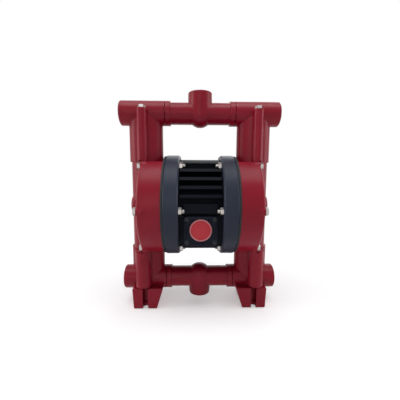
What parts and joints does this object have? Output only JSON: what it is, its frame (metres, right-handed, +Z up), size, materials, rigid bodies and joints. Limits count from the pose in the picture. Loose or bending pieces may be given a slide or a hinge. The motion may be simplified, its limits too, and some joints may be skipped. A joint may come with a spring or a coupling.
{
  "type": "air operated double diaphragm pump",
  "caption": "Air operated double diaphragm pump with side diaphragm chambers, finned centre air section, upper and lower manifolds with centre ports, and slotted feet.",
  "frame": {"origin": "floor level, midway between the feet, below the shaft's middle", "axes": "+Z up through the outlet port; X along the diaphragm shaft, +X to the right seen from the front; -Y is the front with the air valve cover"},
  "size_m": [0.196, 0.125, 0.2692],
  "materials": {
    "red_body": "semi-gloss",
    "black_housing": "satin",
    "badge_red": "gloss",
    "rubber": "matte",
    "stainless": "satin",
    "aluminium": "satin",
    "black_screws": "satin",
    "acetal": "satin",
    "ball_white": "satin",
    "brass": "satin"
  },
  "bodies": {
    "body": {"air_cover_left": "black_housing", "air_cover_right": "black_housing", "air_cover_screws": "stainless", "air_valve_cover": "black_housing", "badge_disc": "badge_red", "centre_housing": "black_housing", "cover_bolts": "stainless", "cover_nuts": "stainless", "diaphragm_left": "rubber", "diaphragm_right": "rubber", "exhaust_silencer": "brass", "fluid_cover_left": "red_body", "fluid_cover_right": "red_body", "inlet_elbow_left": "red_body", "inlet_elbow_right": "red_body", "inlet_manifold_bolts": "stainless", "inlet_seat_left": "acetal", "inlet_seat_right": "acetal", "inlet_tee": "red_body", "outlet_elbow_left": "red_body", "outlet_elbow_right": "red_body", "outlet_manifold_bolts": "stainless", "outlet_seat_left": "acetal", "outlet_seat_right": "acetal", "outlet_tee": "red_body", "pilot_bushes": "acetal", "port_plugs": "red_body", "seat_seals": "rubber", "shaft_bushes": "acetal", "shaft_seals": "rubber", "tee_o_rings": "rubber", "valve_cover_gasket": "rubber", "valve_cover_screws": "black_screws", "valve_port_plate": "acetal"},
    "shaft": {"diaphragm_shaft": "stainless", "air_side_plate_left": "aluminium", "air_side_plate_right": "aluminium", "fluid_side_plate_left": "stainless", "fluid_side_plate_right": "stainless", "shaft_bolt_left": "stainless", "shaft_bolt_right": "stainless"},
    "outlet_ball_left": {"outlet_ball_left": "ball_white"},
    "outlet_ball_right": {"outlet_ball_right": "ball_white"},
    "inlet_ball_left": {"inlet_ball_left": "ball_white"},
    "inlet_ball_right": {"inlet_ball_right": "ball_white"},
    "spool": {"valve_spool": "aluminium", "valve_slide": "acetal", "spool_seals": "rubber"},
    "pilot_pin_left": {"pilot_pin_left": "stainless"},
    "pilot_pin_right": {"pilot_pin_right": "stainless"}
  },
  "joints": [
    {"name": "shaft_stroke", "type": "slide", "parent": "body", "child": "shaft", "axis": [1, 0, 0], "range_m": [-0.006, 0.006], "deforming": ["diaphragm_left", "diaphragm_right"]},
    {"name": "outlet_ball_lift_left", "type": "slide", "parent": "body", "child": "outlet_ball_left", "axis": [0, 0, 1], "range_m": [0, 0.005]},
    {"name": "outlet_ball_lift_right", "type": "slide", "parent": "body", "child": "outlet_ball_right", "axis": [0, 0, 1], "range_m": [0, 0.005]},
    {"name": "inlet_ball_lift_left", "type": "slide", "parent": "body", "child": "inlet_ball_left", "axis": [0, 0, 1], "range_m": [0, 0.005]},
    {"name": "inlet_ball_lift_right", "type": "slide", "parent": "body", "child": "inlet_ball_right", "axis": [0, 0, 1], "range_m": [0, 0.005]},
    {"name": "spool_shift", "type": "slide", "parent": "body", "child": "spool", "axis": [1, 0, 0], "range_m": [-0.0035, 0.0035]},
    {"name": "pilot_pin_push_left", "type": "slide", "parent": "body", "child": "pilot_pin_left", "axis": [-1, 0, 0], "range_m": [-0.0025, 0]},
    {"name": "pilot_pin_push_right", "type": "slide", "parent": "body", "child": "pilot_pin_right", "axis": [1, 0, 0], "range_m": [-0.0025, 0]}
  ]
}
